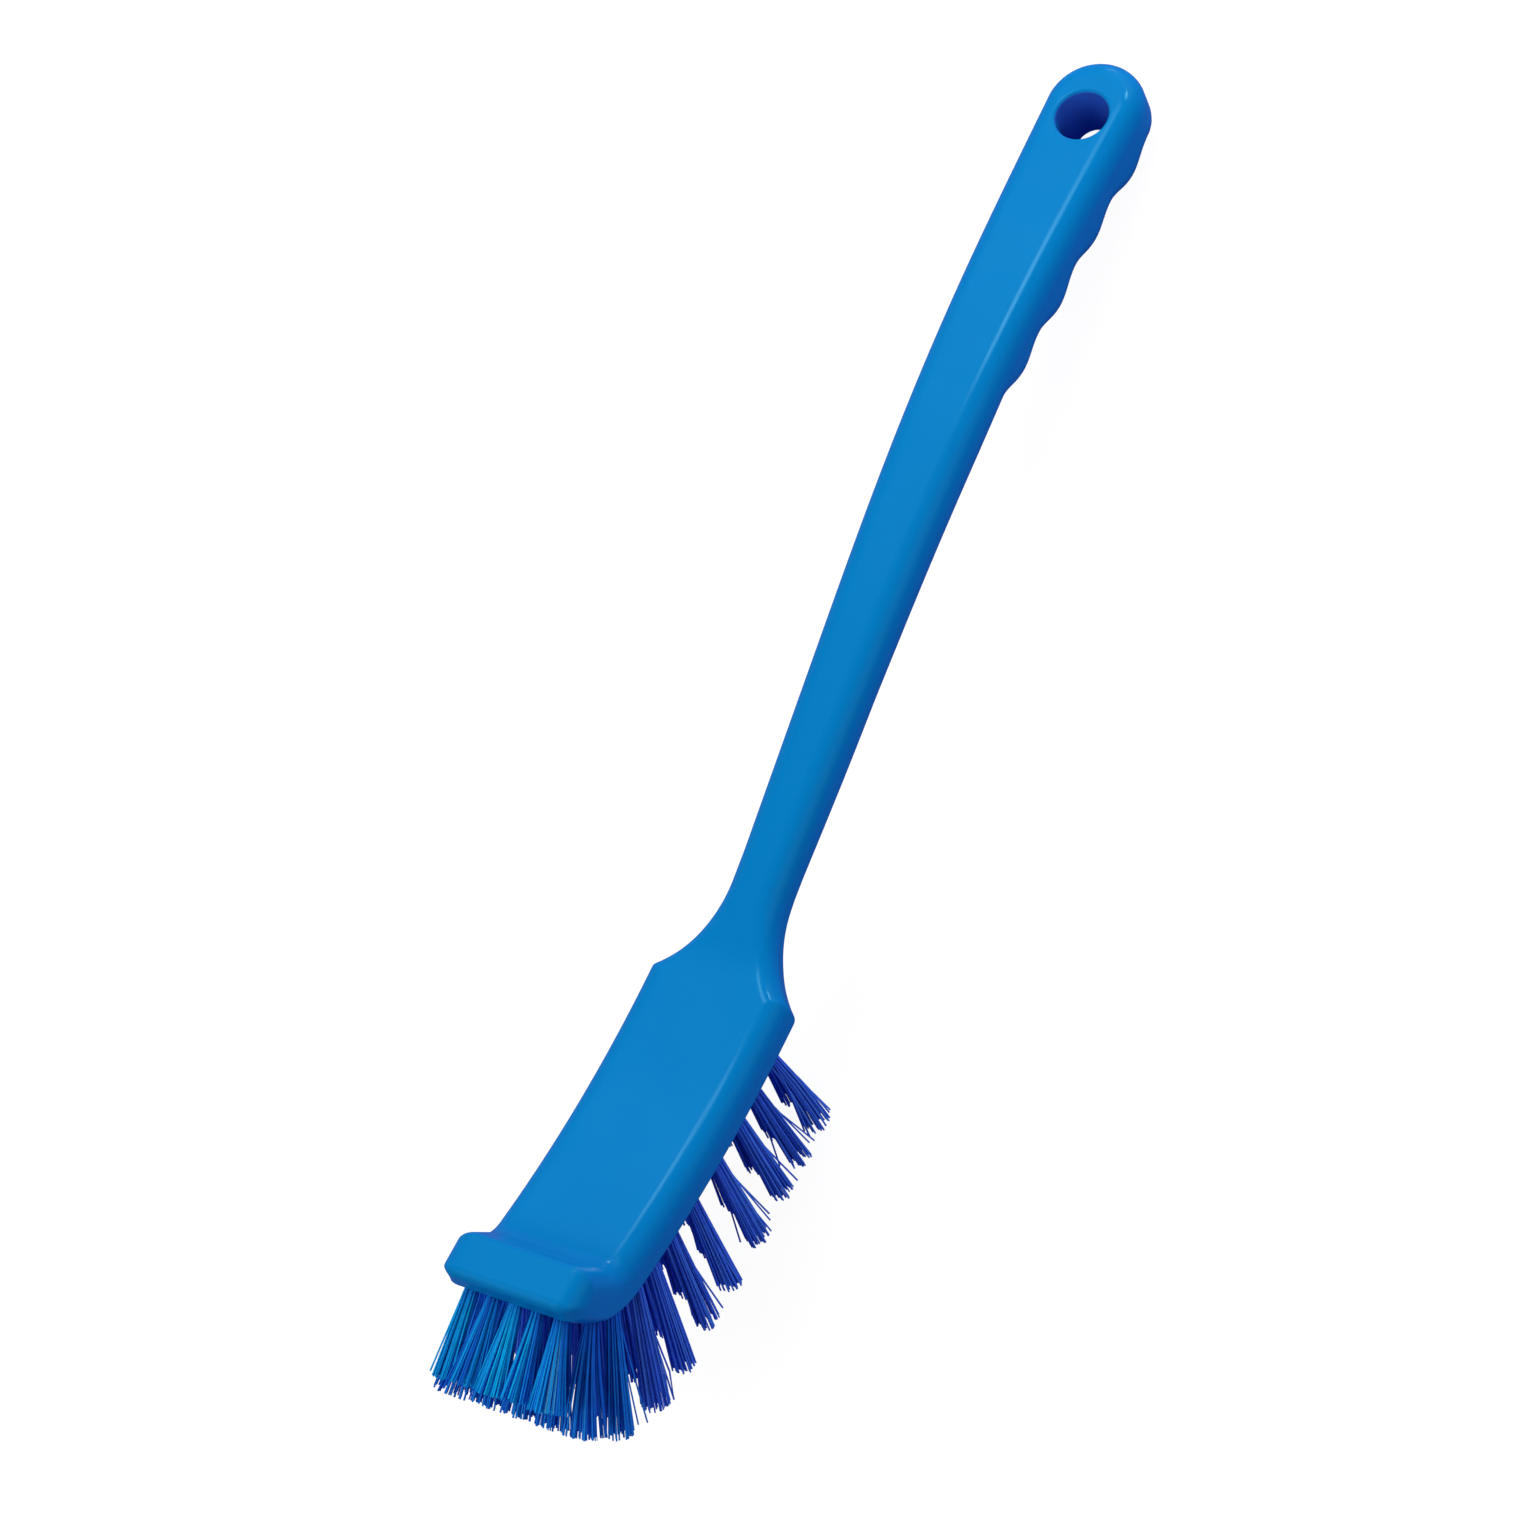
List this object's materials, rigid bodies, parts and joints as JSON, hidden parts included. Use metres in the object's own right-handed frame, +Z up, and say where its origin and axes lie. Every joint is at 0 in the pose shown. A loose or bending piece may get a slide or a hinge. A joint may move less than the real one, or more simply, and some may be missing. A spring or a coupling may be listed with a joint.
{
  "type": "long-handled scrub brush",
  "caption": "Long-handled scrub brush: one-piece blue stock with a cranked finger-grooved handle, hanging eye and raised scraper lip, and stiff blue bristle tufts on a curved underside.",
  "frame": {"origin": "centre of the bounding box in plan, on the surface that the brush rests on", "axes": "+X towards the nose of the brush head, +Z up as the brush lies on a table on its rear bristle tips and the end of its grip, +Y to the left seen from the handle"},
  "size_m": [0.5088, 0.0644, 0.1209],
  "materials": {
    "stock_plastic": "satin-gloss moulded polypropylene, blue",
    "filament": "stiff drawn filament, blue, semi-gloss",
    "anchor_steel": "drawn flat stainless wire"
  },
  "bodies": {
    "root": {"anchor_r01_left": "anchor_steel", "anchor_r01_right": "anchor_steel", "anchor_r02_centre": "anchor_steel", "anchor_r02_right": "anchor_steel", "stock": "stock_plastic", "tuft_r01_left": "filament", "tuft_r01_right": "filament", "tuft_r02_centre": "filament", "tuft_r02_left": "filament", "tuft_r02_right": "filament", "tuft_r03_left": "filament", "tuft_r03_right": "filament", "tuft_r04_centre": "filament", "tuft_r04_left": "filament", "tuft_r04_right": "filament", "tuft_r05_left": "filament", "tuft_r05_right": "filament", "tuft_r06_centre": "filament", "tuft_r06_left": "filament", "tuft_r06_right": "filament", "tuft_r07_left": "filament", "tuft_r07_right": "filament", "tuft_r08_centre": "filament", "tuft_r08_left": "filament", "tuft_r08_right": "filament", "tuft_r09_left": "filament", "tuft_r09_right": "filament", "tuft_r10_centre": "filament", "tuft_r10_left": "filament", "tuft_r10_right": "filament", "tuft_r11_left": "filament", "tuft_r11_right": "filament", "tuft_r12_centre": "filament", "tuft_r12_left": "filament", "tuft_r12_right": "filament", "tuft_r13_left": "filament", "tuft_r13_right": "filament", "tuft_r14_centre": "filament", "tuft_r14_left": "filament", "tuft_r14_right": "filament", "tuft_r15_left": "filament", "tuft_r15_right": "filament", "tuft_r16_centre": "filament", "tuft_r16_left": "filament", "tuft_r16_right": "filament", "tuft_r17_left": "filament", "tuft_r17_right": "filament", "tuft_r18_centre": "filament", "tuft_r18_left": "filament", "tuft_r18_right": "filament", "tuft_r19_centre": "filament", "tuft_r19_left": "filament", "tuft_r19_mid_left": "filament", "tuft_r19_mid_right": "filament", "tuft_r19_right": "filament", "tuft_r20_centre": "filament", "tuft_r20_left": "filament", "tuft_r20_mid_left": "filament", "tuft_r20_mid_right": "filament", "tuft_r20_right": "filament"}
  },
  "joints": []
}
